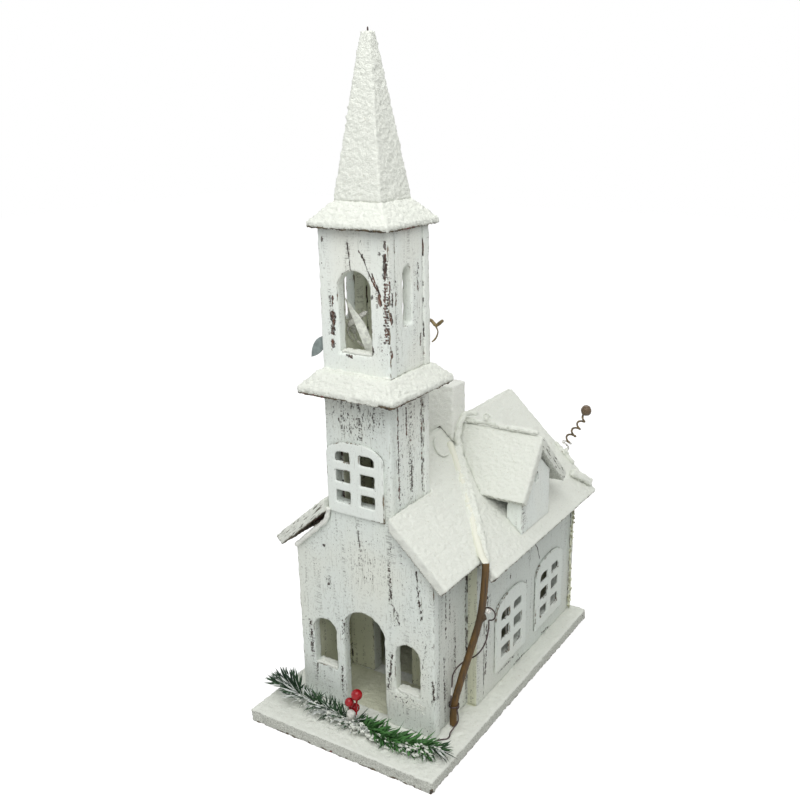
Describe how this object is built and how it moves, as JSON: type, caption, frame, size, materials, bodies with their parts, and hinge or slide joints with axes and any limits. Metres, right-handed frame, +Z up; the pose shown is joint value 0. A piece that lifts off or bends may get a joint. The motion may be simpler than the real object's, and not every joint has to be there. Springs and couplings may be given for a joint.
{
  "type": "lighted wooden house",
  "caption": "White weathered wooden church with a bell tower, snow on its roofs, twigs, a pine garland and battery lights inside.",
  "frame": {"origin": "the centre of the base board's underside", "axes": "+Z up, -Y towards the viewer of the facade, +X to the right as one faces the facade"},
  "size_m": [0.2148, 0.3339, 0.6068],
  "materials": {
    "white_boards": "distressed white paint over brown wood",
    "snowy_roof": "matt white snow plaster over wood",
    "vine_bark": "brown bark, partly under snow",
    "snowy_twig": "twig under white snow",
    "fuzzy_vine": "pale dry fibres",
    "dark_wire": "dark brown, satin",
    "pale_bead": "pale, matt",
    "brown_bead": "dark brown, lacquered",
    "pine": "dark green needles, snow on top",
    "red_berry": "glossy red",
    "snow_berry": "white snow coat",
    "grey_leaf": "grey green, matt",
    "white_blade": "white, matt",
    "string_insulation": "white",
    "lamp": "clear bulb in a white socket",
    "case_plastic": "white, satin",
    "switch_plastic": "black",
    "cell_sleeve": "plain sleeve, gloss",
    "contact_metal": "plated",
    "nail_steel": "dull, darkened"
  },
  "bodies": {
    "house": {"base_board": "snowy_roof", "front_wall": "white_boards", "porch_wall_left": "white_boards", "porch_wall_right": "white_boards", "tower_side_left": "white_boards", "tower_side_right": "white_boards", "tower_back_board": "white_boards", "nave_front_wall": "white_boards", "nave_wall_left": "white_boards", "nave_wall_right": "white_boards", "nave_back_wall": "white_boards", "tower_casing": "white_boards", "nave_casing_left_front": "white_boards", "nave_casing_left_rear": "white_boards", "nave_casing_right_front": "white_boards", "nave_casing_right_rear": "white_boards", "roof_slab_left": "snowy_roof", "roof_slab_right": "snowy_roof", "chimney": "snowy_roof", "dormer_face": "white_boards", "dormer_slab_front": "snowy_roof", "dormer_slab_rear": "snowy_roof", "tower_skirt_roof": "snowy_roof", "belfry_front": "white_boards", "belfry_back": "white_boards", "belfry_side_left": "white_boards", "belfry_side_right": "white_boards", "grey_leaf": "grey_leaf", "white_blade": "white_blade", "spire_skirt": "snowy_roof", "spire": "snowy_roof", "spire_nail": "nail_steel", "string_wire": "string_insulation", "belfry_lamp_1": "lamp", "belfry_lamp_2": "lamp", "nave_lamp_1": "lamp", "nave_lamp_2": "lamp", "vine_twig": "vine_bark", "tendril_wire": "dark_wire", "tendril_bead": "pale_bead", "ridge_twig": "snowy_twig", "rake_twig": "snowy_twig", "roof_loop": "snowy_twig", "corner_vine": "fuzzy_vine", "back_twig": "vine_bark", "spring_wire": "dark_wire", "spring_bead": "brown_bead", "berry_1": "red_berry", "berry_2": "red_berry", "berry_3": "red_berry", "snow_berry": "snow_berry", "garland": "pine", "battery_case": "case_plastic", "battery_contact_front": "contact_metal", "battery_contact_rear": "contact_metal", "battery_1": "cell_sleeve", "battery_2": "cell_sleeve"},
    "cover": {"battery_cover": "case_plastic"},
    "switch": {"switch_slider": "switch_plastic"}
  },
  "joints": [
    {"name": "cover_slide", "type": "slide", "parent": "house", "child": "cover", "axis": [0, 1, 0], "range_m": [0, 0.06]},
    {"name": "switch_slide", "type": "slide", "parent": "house", "child": "switch", "axis": [1, 0, 0], "range_m": [0, 0.003]}
  ]
}
